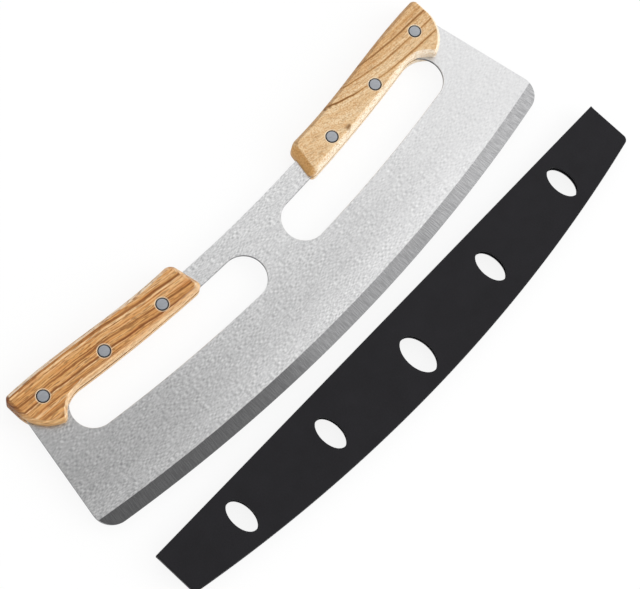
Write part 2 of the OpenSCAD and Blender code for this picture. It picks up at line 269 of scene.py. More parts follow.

# Blade, in mm and degrees. Stainless steel sheet, ground on a belt along its length: a satin sheen made of
# short fine scratches. The bevel is ground across. The walls that a laser has cut are painted darker as
# painted shade, and each finish is painted darker towards the left end and lighter towards the right, as
# painted light and shade.
blade = {
    "width": 355.6,
    "height": 86.9,
    "thickness": 2.0,
    "edgeRadius": 1000.0,
    "spineRadius": 842.0,
    "endLean": 11.2,
    "cornerRadius": 12.0,
    "bevelWidth": 8.4,
    "edgeThickness": 0.3,
    "slotHeight": 26.3,
    "stripHeight": 12.7,  # of the strip above a slot, in the blade's middle
    "slotGap": 23.0,
    "slotWeb": 30.7,  # from a slot to the blade's widest point
    "brokenEdge": 0.2,
    "step": 2.0,  # between the points of the long curves
    "finishes": {
        "satinGroundSteel": {
            "light": "#D9D9D9", "shade": "#A3A3A4",
            "length": 1.9, "width": 0.34,  # of a scratch, drawn coarser than real ones so that it shows
            "roughness": 0.34, "stretchTurn": 0.25,
            "contrast": (5.44, 0.8),  # of the scratches, at the left and the right end
            "tone": [  # painted light and shade along the blade: place along it, and level
                (-180, 0.85), (-110, 0.93), (-50, 1.1), (60, 1.18), (105, 1.26), (180, 1.29)],
            "height": [  # painted light by height: place above the cutting edge, and level
                (8, 1.17), (14, 1.15), (20, 1.08), (27, 1.01), (38, 1.0), (46, 1.03), (66, 1.09), (95, 1.09)],
            "heightEnds": (60, 165),  # along the blade, where the painted light by height begins to fade and has gone
        },
        "crossGroundSteel": {
            "light": "#A9A9AA", "shade": "#939394",
            "length": 0.6, "width": 6.0,
            "roughness": 0.3, "stretchTurn": 0.0,
            "contrast": (3.2, 3.2),
            # Painted shade: the bevel much darker towards the left end
            "tone": [
                (-180, 0.36), (-80, 0.44), (-48, 0.56), (-24, 0.92), (30, 1.02), (70, 1.05), (104, 1.21),
                (180, 1.22)],
        },
        # Painted shade: the cut walls are coloured dark
        "laserCutSteel": {
            "light": "#7A7A7C", "shade": "#4C4C4E",
            "length": 0.5, "width": 4.0,
            "roughness": 0.5, "stretchTurn": 0.0,
            "contrast": (3.2, 3.2),
            "tone": [(-180, 1.0), (180, 1.0)],
        },
    },
    "finishReach": 180.0,  # from the blade's middle to where the contrast is full
    "specks": (0.1, 0.32),  # how much larger than a scratch is wide, and their share
    "clouds": (7, 12, 0.12),  # how many scratches long and wide, and their share
    "band": (0.3, 0.7),  # of the noise from the roughest to the smoothest
    "roughnessSwing": 0.05,
    "stretch": 0.45,  # of the highlights, across the scratches
    "bump": (0.3, 0.00004),  # strength, and depth in m
}
edgeRadius = blade["edgeRadius"]
edgeCentre = (0.0, edgeRadius)
spineCentre = (0.0, blade["height"] + blade["spineRadius"])
halfPlate = blade["thickness"] / 2
slotTop = edgeRadius - blade["height"] + blade["stripHeight"]
slotMiddle = slotTop + blade["slotHeight"] / 2
slotEndX = blade["width"] / 2 - blade["slotWeb"] - blade["slotHeight"] / 2
slotInner = math.degrees(math.asin((blade["slotGap"] + blade["slotHeight"]) / 2 / slotMiddle))
slotOuter = math.degrees(math.asin(slotEndX / slotMiddle))


def onArc(radius, angle):
    return radius * math.sin(math.radians(angle)), edgeRadius - radius * math.cos(math.radians(angle))


def spineAt(x):
    return spineCentre[1] - math.sqrt(blade["spineRadius"] ** 2 - x * x)


def halfThickness(x, y):
    inside = edgeRadius - math.hypot(x, y - edgeRadius)
    share = min(1.0, max(0.0, inside / blade["bevelWidth"]))
    edge = blade["edgeThickness"] / 2
    return edge + (halfPlate - edge) * share


# Lower right of the plate: half of the cutting edge and the corner up to the bevel's line, then the rest
def bladeHalf():
    radius, step = blade["cornerRadius"], blade["step"]
    centreX = blade["width"] / 2 - radius
    centre = (centreX, edgeRadius - math.sqrt((edgeRadius - radius) ** 2 - centreX ** 2))
    start = math.degrees(math.atan2(centre[1] - edgeRadius, centreX))
    bevelRadius = edgeRadius - blade["bevelWidth"]
    middleRadius = edgeRadius - radius
    reach = (bevelRadius ** 2 - middleRadius ** 2 - radius ** 2) / (2 * radius * middleRadius)
    junction = start + math.degrees(math.acos(reach))
    count = round(math.radians(start + 90) * edgeRadius / step)
    low = arcPoints(edgeCentre, edgeRadius, -90, start, count)[:-1]
    low += arcPoints(centre, radius, start, junction, 18)
    lean = blade["endLean"]
    high = arcPoints(centre, radius, junction, lean, 6)[1:]
    upX, upY = -math.sin(math.radians(lean)), math.cos(math.radians(lean))
    sideX, sideY = high[-1]
    length = 0.0
    while sideY + upY * length < spineAt(sideX + upX * length):
        length += 0.01
    top = (sideX + upX * length, sideY + upY * length)
    high += [(sideX + upX * length * i / 20, sideY + upY * length * i / 20) for i in range(1, 20)]
    topAngle = math.degrees(math.asin(top[0] / blade["spineRadius"]))
    count = round(math.radians(topAngle) * blade["spineRadius"] / step)
    high += arcPoints(spineCentre, blade["spineRadius"], -90 + topAngle, -90, count)
    return low, high


def slotLoop():
    middle = [onArc(slotMiddle, slotInner), onArc(slotMiddle, slotOuter)]
    radius = blade["slotHeight"] / 2
    count = round(math.radians(slotOuter - slotInner) * slotMiddle / blade["step"])
    angles = [slotInner + (slotOuter - slotInner) * i / count for i in range(1, count)]
    loop = arcPoints(middle[0], radius, 90 + slotInner, 270 + slotInner, 36)
    loop += [onArc(slotTop + 2 * radius, a) for a in angles]
    loop += arcPoints(middle[1], radius, slotOuter - 90, slotOuter + 90, 36)
    return loop + [onArc(slotTop, a) for a in reversed(angles)]


def makeSteel(name, look):
    material, add = startMaterial(name)
    grainPlace = add("UVMap", uv_map="grain")
    parts = add("SeparateXYZ", {"Vector": grainPlace}).outputs
    along = parts["X"]

    def scratches(length, width, detail=0.0):
        scaled = add("Mapping", {"Vector": grainPlace, "Scale": (1 / length, 1 / width, 1.0)})
        return add("TexNoise", {
            "Vector": scaled, "Scale": 1.0, "Detail": detail, "Roughness": 0.6}, noise_dimensions="2D")

    # Painted light and shade: levels by place that brighten or darken the colour. A ramp can't go above
    # white, so it holds half of each level
    def paintLevels(colour, value, stops, share=1.0):
        low, high = stops[0][0], stops[-1][0]
        spread = add("MapRange", [value, low, high])
        halves = add("ValToRGB", {"Fac": spread})
        fillRamp(halves.color_ramp, [((at - low) / (high - low), level / 2) for at, level in stops])
        levels = add("Mix", {0: 1.0, 6: halves, 7: (2, 2, 2, 1)}, data_type="RGBA", blend_type="MULTIPLY")
        return add("Mix", {0: share, 6: colour, 7: levels}, data_type="RGBA", blend_type="MULTIPLY")

    length, width = look["length"], look["width"]
    extra, speckShare = blade["specks"]
    speck = min(length, width) + extra
    fine = add("Mix", {0: speckShare, 2: scratches(length, width), 3: scratches(speck, speck)})
    cloudLength, cloudWidth, cloudShare = blade["clouds"]
    clouds = scratches(length * cloudLength, width * cloudWidth, 2.0)
    tone = add("Mix", {0: cloudShare, 2: fine, 3: clouds})
    reach = blade["finishReach"]
    contrast = add("MapRange", [along, -reach, reach, *look["contrast"]])
    centred = add("Math", [tone, 0.5], operation="SUBTRACT")
    spread = add("Math", [centred, contrast, 0.5], operation="MULTIPLY_ADD", use_clamp=True)
    colour = add("Mix", {0: spread, 6: srgb(look["shade"]), 7: srgb(look["light"])}, data_type="RGBA")
    # Painted light and shade along the blade, then by height above the cutting edge
    colour = paintLevels(colour, along, look["tone"])
    if "height" in look:
        squared = add("Math", [along, along], operation="MULTIPLY")
        height = add("Math", [squared, -0.5 / edgeRadius, parts["Y"]], operation="MULTIPLY_ADD")
        fade = add("MapRange", [along, *look["heightEnds"], 1.0, 0.0])
        colour = paintLevels(colour, height, look["height"], fade)
    swing = blade["roughnessSwing"]
    rough = add("MapRange", [fine, *blade["band"], look["roughness"] + swing, look["roughness"] - swing])
    bump = add("Bump", {"Height": fine, "Strength": blade["bump"][0], "Distance": blade["bump"][1]})
    tangent = add("Tangent", direction_type="UV_MAP", uv_map="grain")
    shader = add("BsdfPrincipled", {
        "Base Color": colour, "Metallic": 1.0, "Roughness": rough, "Anisotropic": blade["stretch"],
        "Anisotropic Rotation": look["stretchTurn"], "Normal": bump, "Tangent": tangent})
    add("OutputMaterial", {"Surface": shader})
    return material


# Surfaces are numbered from 10 on the front, from 20 on the back and from 30 through the plate
def makeBlade():
    low, high = bladeHalf()
    lower = mirrored(low)[:-1] + low  # from the left end of the bevel's line to its right end
    upper = high + mirrored(high)[1:]
    outline = lower + upper
    thick = [halfThickness(*p) for p in outline]
    broken = [min(blade["brokenEdge"], 0.3 * t) for t in thick]
    inner = insetLoop(outline, broken)
    innerThick = [halfThickness(*p) for p in inner]
    slot = slotLoop()
    slots = [slot, mirrored(slot)]
    bores = [circle(spot, rivet["shank"] / 2) for spot in rivetSpots.values()]
    edge = blade["brokenEdge"]
    sculpt = Sculpt()
    walls = []
    for side in (1, -1):
        first = 10 if side > 0 else 20
        wall = sculpt.ring(outline, [side * (t - b) for t, b in zip(thick, broken)])
        face = sculpt.ring(inner, [side * t for t in innerThick])
        sculpt.join(wall, face, first)
        bevelRadius = edgeRadius - blade["bevelWidth"]
        line = [face[0]]
        for x, y in lower[1:-1]:
            reach = bevelRadius / math.hypot(x, y - edgeRadius)
            line += sculpt.ring([(x * reach, edgeRadius + (y - edgeRadius) * reach)], side * halfPlate)
        line.append(face[len(lower) - 1])
        sculpt.join(face[:len(lower)], line, first + 1, closed=False, material=1)
        loops = [line + face[len(lower):]]
        openings = []
        for loop in slots:
            rim = sculpt.ring(loop, side * (halfPlate - edge))
            around = sculpt.ring(insetLoop(loop, -edge), side * halfPlate)
            sculpt.join(rim, around, first + 2)
            loops.append(around)
            openings.append(rim)
        for loop in bores:
            around = sculpt.ring(loop, side * halfPlate)
            loops.append(around)
            openings.append(around)
        sculpt.fill(loops, first + 3, (0, 0, side))
        walls.append([wall] + openings)
    for number, (front, back) in enumerate(zip(*walls)):
        sculpt.join(front, back, 30 + number, material=2)

    # Places in mm: lengthwise and across on the plate, and along the edge's arc and inwards on the bevel
    def grainMap(surface, point):
        if surface in (11, 21):
            angle = math.atan2(point.x, edgeRadius - point.y)
            return angle * edgeRadius, edgeRadius - math.hypot(point.x, point.y - edgeRadius)
        return point.x, point.y + (point.z if surface >= 30 else 0)

    steels = [makeSteel(name, look) for name, look in blade["finishes"].items()]
    return sculpt.finish("bladeSteel", "knife", ["blade"], steels, grainMap)


makeBlade()

# Grips, in mm and degrees. Ash, sanded and oiled: brown lines of late growth, short dark pores along the
# grain, a dull sheen. The course is how the growth lines run along a grip, as places along the knife with
# heights, and the growth is how dark they are across it, as heights on the lines' own scale with levels.
grip = {
    "thickness": 16.0,
    "gap": 88.0,  # between the two grips
    "lean": 11.0,  # of the inner ends
    "lip": 1.4,  # of wood below the steel strip
    "riseIn": 7.6,  # above the spine, at the inner and the outer end
    "riseOut": 2.9,
    "hookRadius": 17.5,
    "heelRadius": 22.8,
    "heelOut": 9.5,  # from the middle of the slot's outer end to the middle of the heel
    "heelUp": 25.1,
    "tipRadius": 2.4,
    "topRadiusIn": 6.0,
    "topRadiusOut": 3.2,
    "topSlopeIn": 1,  # of the top edge at its two ends
    "topSlopeOut": 2,
    "bottomRadiusIn": 3.6,
    "easeFinger": 2.5,  # width of the sanded bevel along the fingers
    "easeCorner": 2.0,  # what the lower inner corner's radius loses
    "easeHeel": 1.6,
    "easeTop": 2.0,
    "easeEnd": 3.3,
    "easeDepth": 2.8,
    "easeEndDepth": 6.0,
    "easePower": 1.4,  # how round the bevel is
    "easeSteps": (0.05, 0.12, 0.22, 0.34, 0.48, 0.62, 0.76, 0.88, 1.0),
    "softEdge": 0.09,  # how far the sanding has softened the face's rim, as a share of the bevel
    "archSteps": 60,
    "growthSpan": (50.0, 108.0),
    "ringGap": 1.1,  # between the faint lines of single years
    "ringBand": (0.54, 0.62),  # of the noise that makes them
    "wander": (30, 9, 9, 1.4),  # along the grip, across it and deep, and how far the lines wander
    "grain": {  # size along the grain, across it and deep; the band of the noise in use, and its two levels
        "patches": {"size": (50, 3.5, 6), "band": (0.35, 0.65, -0.12, 0.12), "detail": 1.0, "shift": 2.0},
        "fine": {"size": (20, 0.5, 1.0), "band": (0.44, 0.64, 0.0, 1.0), "detail": 0.0, "shift": 5.0},
        "pores": {"size": (3.6, 0.45, 0.7), "band": (0.56, 0.68, 0.0, 1.0), "detail": 0.0, "shift": 9.0},
        "speckle": {"size": (0.7, 0.7, 0.7), "band": (0.46, 0.66, 0.0, 1.0), "detail": 0.0, "shift": 21.0},
    },
    "halo": (0.2, 0.8, 0.5, "#F7E6CB"),  # painted highlight round a rivet's hole: full, gone, its share and colour
    "roughness": (0.48, 0.62),
    "bump": (0.4, 0.0001),  # strength, and depth in m
    # A side is tinted by where it faces, as painted light and shade: paler towards the lamp, darker away from
    # it, the dark ends partly also for real end grain. Given are where it faces (degrees round and up), where
    # the tint begins and is full, its share, its colour and its way, and for some from and to which place
    # along the knife it comes in
    "wood": {
        "left": {
            "pale": "#F6D9AF", "mid": "#DCA868", "dark": "#8E5826", "pore": "#6E4218",
            "course": [
                (-170, 7.2), (-150, 5.4), (-140, 4.2), (-120, 1.6), (-100, -1.3), (-80, -5.3), (-60, -8.7),
                (-40, -11)],
            "growth": [
                (68, 0.45), (76, 0.5), (76.6, 0.3), (77.4, 0.55), (79.2, 0.15), (80.0, 0.6), (80.5, 0.9),
                (81.2, 0.5), (82.0, 0.4), (83.0, 0.5), (84.5, 0.2), (85.1, 0.75), (85.5, 0.95), (86.3, 0.6),
                (87.3, 0.45), (88.6, 0.6), (89.6, 0.42), (90.1, 1.0), (90.5, 0.6), (91.8, 0.4), (93.2, 0.55),
                (94.2, 0.42), (95.5, 0.15), (97.1, 0.3), (97.6, 0.85), (98.0, 1.0), (98.5, 0.45),
                (100.0, 0.3), (103.0, 0.5), (106, 0.3)],
            "ringShare": 0.45, "fineShare": 0.6, "poreShare": 0.55, "speckleShare": 0.15,
            "sides": [
                ((-45, 0), 0.3, 0.65, 0.75, "#F9E3BE", "MIX"),
                ((90, 35), 0.84, 0.95, 0.9, "#F8E6CC", "MIX"),
                ((140, 0), 0.5, 0.8, 1.0, "#A07C58", "MULTIPLY"),
                ((-130, 0), 0.55, 0.85, 0.55, "#F6D29A", "MIX")],
            "lean": 1.4,  # how much a growth line shifts for each mm into the wood
            "repeat": (76.0, 104.0),  # heights between which the lines run to and fro
            "seed": 3.0,
        },
        "right": {
            "pale": "#ECD2AA", "mid": "#D6AC76", "dark": "#8C602C", "pore": "#7D5424",
            "course": [
                (40, 25), (60, 20), (76.5, 14), (85, 10.6), (95, 7.4), (106, 4.9), (120, 2.6), (135, 1.4),
                (170, 0.3)],
            "growth": [
                (50, 0.12), (82.3, 0.14), (82.9, 0.4), (83.4, 0.98), (83.8, 0.3), (84.3, 0.08), (88.0, 0.12),
                (89.4, 0.3), (90.0, 0.65), (90.4, 0.9), (90.9, 0.2), (92.0, 0.08), (93.0, 0.26),
                (93.6, 0.34), (94.4, 0.2), (95.8, 0.34), (96.5, 0.9), (96.9, 0.65), (97.4, 0.2),
                (98.2, 0.42), (98.7, 0.22), (100.1, 0.55), (100.6, 0.4), (101.6, 0.15), (102.5, 0.4),
                (104.0, 0.3), (104.8, 0.6), (108, 0.3)],
            "ringShare": 0.12, "fineShare": 0.3, "poreShare": 0.3, "speckleShare": 0.5,
            "sides": [
                ((-45, 0), 0.3, 0.65, 0.9, "#F8F0DC", "MIX"),
                ((-115, 0), 0.6, 0.95, 0.6, "#FBE6C6", "MIX"),
                ((90, 35), 0.84, 0.95, 0.5, "#C79A68", "MIX"),
                ((180, 0), 0.3, 0.8, 0.85, "#E2AC64", "MIX", 90, 60),
                ((-160, 0), 0.12, 0.42, 0.92, "#FAEEDA", "MIX", 134, 142)],
            "plain": (81.5, 84.5, 0.15, 1.0),  # heights between which the streaks grow, and their shares
            "flecks": [  # places and radii of the dark dabs of a knot
                (79.5, 79.2, 2.4), (81.0, 79.6, 1.8),
                (78.5, 96.0, 1.7), (81.5, 95.1, 1.7), (85.0, 93.8, 1.4)],
            "fleckShare": 0.8, "fleckCore": 0.2,
            "lean": 0.5,
            "swell": (83.6, 0.9, 0.6, 104, 92),  # a broader line: height, width, level, from and to where
            "seed": 11.0,
        },
    },
}
gripFace = grip["thickness"] / 2


def makeWood(side, look):
    material, add = startMaterial("oiledAsh" + side.capitalize())
    sources = add("TexCoord").outputs
    moved = add("VectorMath", [sources["Object"], tuple(knifeOrigin)], operation="SUBTRACT")
    inMm = add("VectorMath", {0: moved, "Scale": 1000.0}, operation="SCALE")
    here = add("SeparateXYZ", {"Vector": inMm}).outputs

    def stretched(field, size, detail=0.0, shift=0.0):
        scaled = add("Mapping", {
            "Vector": field, "Location": (look["seed"] + shift, look["seed"] * 2, shift),
            "Scale": [1 / length for length in size]})
        return add("TexNoise", {"Vector": scaled, "Scale": 1.0, "Detail": detail, "Roughness": 0.55})

    def streaks(field, name):
        kind = grip["grain"][name]
        noise = stretched(field, kind["size"], kind["detail"], kind["shift"])
        return add("MapRange", [noise, *kind["band"]])

    # Lays a colour over another by a strength from 0 to 1 and a share of it
    def tinted(colour, strength, share, tint, mode="MIX"):
        factor = add("Math", [strength, share], operation="MULTIPLY")
        return add("Mix", {0: factor, 6: colour, 7: srgb(tint)}, data_type="RGBA", blend_type=mode)

    # The same round one spot, full within one radius and gone at another
    def dabbed(colour, spot, full, gone, share, tint):
        flat = add("VectorMath", [inMm, (1.0, 1.0, 0.0)], operation="MULTIPLY")
        away = add("VectorMath", [flat, (*spot, 0.0)], operation="DISTANCE")
        near = add("MapRange", [away, gone, full], interpolation_type="SMOOTHSTEP")
        return tinted(colour, near, share, tint)

    # Height on the growth lines' own scale, which all streaks follow too
    course = look["course"]
    start, end = course[0][0], course[-1][0]
    lift, drop = max(height for spot, height in course), min(height for spot, height in course)
    along = add("MapRange", [here["X"], start, end])
    run = add("ValToRGB", {"Fac": along})
    stops = [((spot - start) / (end - start), (height - drop) / (lift - drop)) for spot, height in course]
    fillRamp(run.color_ramp, stops, "CARDINAL")
    rise = add("MapRange", [run, 0, 1, drop, lift])
    level = add("Math", [here["Y"], rise], operation="SUBTRACT")
    below = add("Math", [here["Z"], gripFace], operation="SUBTRACT")
    level = add("Math", [below, look["lean"], level], operation="MULTIPLY_ADD")
    *wanderSize, wanderReach = grip["wander"]
    wander = add("Math", [stretched(inMm, wanderSize), 0.5], operation="SUBTRACT")
    level = add("Math", [wander, wanderReach, level], operation="MULTIPLY_ADD")
    field = add("CombineXYZ", {"X": here["X"], "Y": level, "Z": here["Z"]})

    if "repeat" in look:
        low, high = look["repeat"]
        above = add("Math", [level, low], operation="SUBTRACT")
        folded = add("Math", [above, high - low], operation="PINGPONG")
        level = add("Math", [folded, low], operation="ADD")
    low, high = grip["growthSpan"]
    across = add("MapRange", [level, low, high])
    late = add("ValToRGB", {"Fac": across})
    fillRamp(late.color_ramp, [((height - low) / (high - low), dark) for height, dark in look["growth"]])
    year = add("Math", [level, 1 / grip["ringGap"], look["seed"]], operation="MULTIPLY_ADD")
    years = add("TexNoise", {"W": year, "Scale": 1.0, "Detail": 1.0}, noise_dimensions="1D")
    years = add("MapRange", [years, *grip["ringBand"]])
    patches, fine, pores = (streaks(field, name) for name in ("patches", "fine", "pores"))
    speckle = streaks(inMm, "speckle")
    if "plain" in look:
        grown = add("MapRange", [level, *look["plain"]], interpolation_type="SMOOTHSTEP")
        years = add("Math", [years, grown], operation="MULTIPLY")
        fine = add("Math", [fine, grown], operation="MULTIPLY")

    tone = add("Math", [late, patches], operation="ADD")
    if "swell" in look:
        middle, width, dark, begins, full = look["swell"]
        above = add("Math", [level, middle], operation="SUBTRACT")
        away = add("Math", [above], operation="ABSOLUTE")
        broad = add("MapRange", [away, width, width * 0.3])
        reach = add("MapRange", [here["X"], begins, full])
        broad = add("Math", [broad, reach], operation="MULTIPLY")
        tone = add("Math", [broad, dark, tone], operation="MULTIPLY_ADD")
    tone = add("Math", [years, look["ringShare"], tone], operation="MULTIPLY_ADD")
    lower = add("MapRange", [tone, 0.0, 0.5])
    upper = add("MapRange", [tone, 0.5, 1.0])
    colour = add("Mix", {0: lower, 6: srgb(look["pale"]), 7: srgb(look["mid"])}, data_type="RGBA")
    colour = add("Mix", {0: upper, 6: colour, 7: srgb(look["dark"])}, data_type="RGBA")

    # Painted light and shade: sides towards the lamp come out paler and sides away from it darker, the cut
    # fibre ends partly also because they soak up more oil
    for (around, up), begins, full, share, tint, mode, *reach in look["sides"]:
        flat, high = heading(up)
        towards = (heading(around)[0] * flat, heading(around)[1] * flat, high)
        facing = add("VectorMath", [sources["Normal"], towards], operation="DOT_PRODUCT")
        strength = add("MapRange", [facing, begins, full, 0.0, share], interpolation_type="SMOOTHSTEP")
        if reach:
            within = add("MapRange", [here["X"], *reach])
            strength = add("Math", [strength, within], operation="MULTIPLY")
        colour = add("Mix", {0: strength, 6: colour, 7: srgb(tint)}, data_type="RGBA", blend_type=mode)

    colour = tinted(colour, fine, look["fineShare"], look["mid"], "MULTIPLY")
    colour = tinted(colour, pores, look["poreShare"], look["pore"])
    colour = tinted(colour, speckle, look["speckleShare"], look["mid"], "MULTIPLY")
    for x, y, radius in look.get("flecks", []):
        colour = dabbed(colour, (x, y), look["fleckCore"], radius, look["fleckShare"], look["pore"])

    # A pale ring is painted round each rivet's hole, as a painted highlight
    full, gone, share, tint = grip["halo"]
    rim = rivet["head"] / 2
    for name, spot in rivetSpots.items():
        if name.startswith(side):
            colour = dabbed(colour, spot, rim + full, rim + gone, share, tint)

    height = add("Math", [fine, -0.5], operation="MULTIPLY")
    height = add("Math", [pores, -1.0, height], operation="MULTIPLY_ADD")
    bump = add("Bump", {"Height": height, "Strength": grip["bump"][0], "Distance": grip["bump"][1]})
    rough = add("MapRange", [fine, 0, 1, *grip["roughness"]])
    shader = add("BsdfPrincipled", {
        "Base Color": colour, "Roughness": rough, "IOR": 1.5, "Specular IOR Level": 0.3, "Normal": bump})
    add("OutputMaterial", {"Surface": shader})
    return material


def meetCircles(first, firstRadius, second, secondRadius):
    a, b = Vector(first), Vector(second)
    gap = (b - a).length
    along = (b - a) / gap
    reach = (firstRadius ** 2 - secondRadius ** 2 + gap ** 2) / (2 * gap)
    return a + along * reach + Vector((along.y, -along.x)) * math.sqrt(firstRadius ** 2 - reach ** 2)


def fillet(corner, arrive, leave, radius, count):
    back = radius * math.tan(math.radians((leave - arrive) / 2))
    a, up = heading(arrive), heading(arrive + 90)
    centre = (corner[0] - back * a[0] + radius * up[0], corner[1] - back * a[1] + radius * up[1])
    return arcPoints(centre, radius, arrive - 90, leave - 90, count)


def withDepth(points, start, end):
    last = max(1, len(points) - 1)
    return [(p[0], p[1], start + (end - start) * i / last) for i, p in enumerate(points)]


# Outline of the right grip, from 0, the full outline, to 1, the flat face inside the sanded bevels
def gripOutline(ease):
    lean = math.tan(math.radians(grip["lean"]))
    heelEase, topEase = ease * grip["easeHeel"], ease * grip["easeTop"]
    fingerRadius = slotTop + grip["lip"]
    hook = onArc(fingerRadius + grip["hookRadius"], slotOuter)
    slotEnd = onArc(slotMiddle, slotOuter)
    heel = (slotEnd[0] + grip["heelOut"], slotEnd[1] + grip["heelUp"])
    heelX = heel[0] + grip["heelRadius"]
    lowRadius = fingerRadius - ease * grip["easeFinger"]
    innerX = grip["gap"] / 2 + ease * grip["easeEnd"] / math.cos(math.radians(grip["lean"]))
    lowY = edgeRadius - math.sqrt(lowRadius ** 2 - innerX ** 2)
    stripY = edgeRadius - slotTop
    lowIn = (innerX + (lowY - stripY) * lean, lowY)
    lowAngle = math.degrees(math.asin(lowIn[0] / lowRadius))
    hollow = grip["hookRadius"] + heelEase
    outer = grip["heelRadius"] - heelEase
    point = grip["tipRadius"] - heelEase
    tip = meetCircles(hook, hollow + point, heel, outer - point)
    tipStart = math.degrees(math.atan2(hook[1] - tip.y, hook[0] - tip.x)) + 360
    tipEnd = math.degrees(math.atan2(tip.y - heel[1], tip.x - heel[0]))
    highOut = (heelX - heelEase, spineAt(heelX) + grip["riseOut"] - topEase)
    highY = spineAt(grip["gap"] / 2) + grip["riseIn"] - topEase
    highIn = (innerX + (highY - stripY) * lean, highY)
    deep, endDeep = grip["easeDepth"], grip["easeEndDepth"]
    radiusLow = grip["bottomRadiusIn"] - ease * grip["easeCorner"]
    radiusOut = grip["topRadiusOut"] - heelEase
    radiusIn = grip["topRadiusIn"] - topEase
    cornerLow = fillet(lowIn, -90 - grip["lean"], lowAngle, radiusLow, 10)
    cornerOut = fillet(highOut, 90, 180 + grip["topSlopeOut"], radiusOut, 12)
    cornerIn = fillet(highIn, 180 + grip["topSlopeIn"], 270 - grip["lean"], radiusIn, 14)
    start, end = Vector(cornerOut[-1]), Vector(cornerIn[0])
    span = (highOut[0] - highIn[0]) / 3
    pull = start - span * Vector(heading(grip["topSlopeOut"]))
    push = end + span * Vector(heading(grip["topSlopeIn"]))
    top = []
    for i in range(1, 40):
        t = i / 40
        u = 1 - t
        top.append(tuple(u ** 3 * start + 3 * u * u * t * pull + 3 * u * t * t * push + t ** 3 * end))
    lowStart = math.degrees(math.asin(cornerLow[-1][0] / lowRadius))
    middle = [onArc(lowRadius, lowStart + (slotOuter - lowStart) * i / 44) for i in range(1, 44)]
    middle += arcPoints(hook, hollow, 90 + slotOuter, tipStart - 180, 20)
    middle += arcPoints(tip, point, tipStart, tipEnd + 360, 12)[1:]
    middle += arcPoints(heel, outer, tipEnd + 3, 0, 22) + cornerOut + top
    ends = withDepth(cornerLow, endDeep, deep), withDepth(cornerIn, deep, endDeep)
    return ends[0] + withDepth(middle, deep, deep) + ends[1]


def spineCrossings(outline):
    found = []
    for i, p in enumerate(outline):
        q = outline[(i + 1) % len(outline)]
        a, b = p[1] - spineAt(p[0]), q[1] - spineAt(q[0])
        if a * b < 0:
            found.append((i, a / (a - b)))
    return found


def makeGrip(side):
    mirror = -1 if side == "left" else 1
    crossings = spineCrossings(gripOutline(0.0))

    def outlineAt(ease):
        loop = gripOutline(ease)
        for i, share in reversed(crossings):
            p, q = loop[i], loop[(i + 1) % len(loop)]
            loop.insert(i + 1, tuple(a + (b - a) * share for a, b in zip(p, q)))
        return [(mirror * x, y, d) for x, y, d in loop]

    sculpt = Sculpt()
    full = outlineAt(0.0)
    outerCross = crossings[0][0] + 1
    innerCross = len(full) - 1 if len(crossings) > 1 else 0
    spots = [spot for name, spot in rivetSpots.items() if name.startswith(side)]
    head, shank, soft = rivet["head"] / 2, rivet["shank"] / 2, rivet["woodRim"]
    seat = gripFace - rivet["headThickness"]
    seatSteps = [
        (head + soft, gripFace), (head, gripFace - soft), (head, seat), (shank, seat), (shank, halfPlate)]
    count = grip["archSteps"]
    endX, startX = full[innerCross][0], full[outerCross][0]
    spineX = [startX + (endX - startX) * i / count for i in range(1, count)]
    kerf = []
    for up in (1, -1):
        first = 10 if up > 0 else 20
        rim = outlineAt(1.0 + grip["softEdge"])
        face = sculpt.ring(rim, up * gripFace)
        last = face
        for step in grip["easeSteps"]:
            loop = outlineAt((1 - step) ** grip["easePower"])
            ring = sculpt.ring(loop, [up * (gripFace - p[2] * step) for p in loop])
            sculpt.join(last, ring, 1)
            last = ring
        split = sculpt.ring(full, up * halfPlate)
        sculpt.join(last, split, 1)
        loops = [face]
        bores = []
        for spot in spots:
            rings = [sculpt.ring(circle(spot, radius), up * height) for radius, height in seatSteps]
            sculpt.joinAll(rings, (first + 5, first, first + 1, first + 2))
            loops.append(rings[0])
            bores.append(rings[-1])
        sculpt.fill(loops, first + 3, (0, 0, up))
        arch = sculpt.ring([(x, spineAt(x)) for x in spineX], up * halfPlate)
        sculpt.fill([split[innerCross:] + split[:outerCross + 1] + arch] + bores, first + 4, (0, 0, -up))
        kerf.append((split, arch))
    (front, frontArch), (back, backArch) = kerf
    sculpt.join(front[outerCross:innerCross + 1], back[outerCross:innerCross + 1], 1, closed=False)
    sculpt.join([front[outerCross]] + frontArch + [front[innerCross]],
                [back[outerCross]] + backArch + [back[innerCross]], 30, closed=False)
    wood = makeWood(side, grip["wood"][side])
    return sculpt.finish("grip" + side.capitalize(), "knife", [side + "_grip"], [wood])


for side in ("left", "right"):
    makeGrip(side)


def makeRivetMetal(name, look):
    material, add = startMaterial(name)
    here = add("TexCoord").outputs["Object"]
    turned = add("VectorRotate", {"Vector": here, "Angle": rivet["scratchTurn"]}, rotation_type="Z_AXIS")
    scaled = add("Mapping", {"Vector": turned, "Scale": [1000 / length for length in rivet["scratch"]]})
    scratch = add("TexNoise", {"Vector": scaled, "Scale": 1.0, "Detail": 2.0})
    colour = add("Mix", {0: scratch, 6: srgb(look["dark"]), 7: srgb(look["light"])}, data_type="RGBA")
    rough = add("MapRange", [scratch, 0, 1, *rivet["roughness"]])
    bump = add("Bump", {"Height": scratch, "Strength": rivet["bump"][0], "Distance": rivet["bump"][1]})
    shader = add("BsdfPrincipled", {
        "Base Color": colour, "Metallic": 1.0, "Roughness": rough, "Normal": bump})
    add("OutputMaterial", {"Surface": shader})
    return material


rivetMetals = [makeRivetMetal(name, look) for name, look in rivet["metals"].items()]


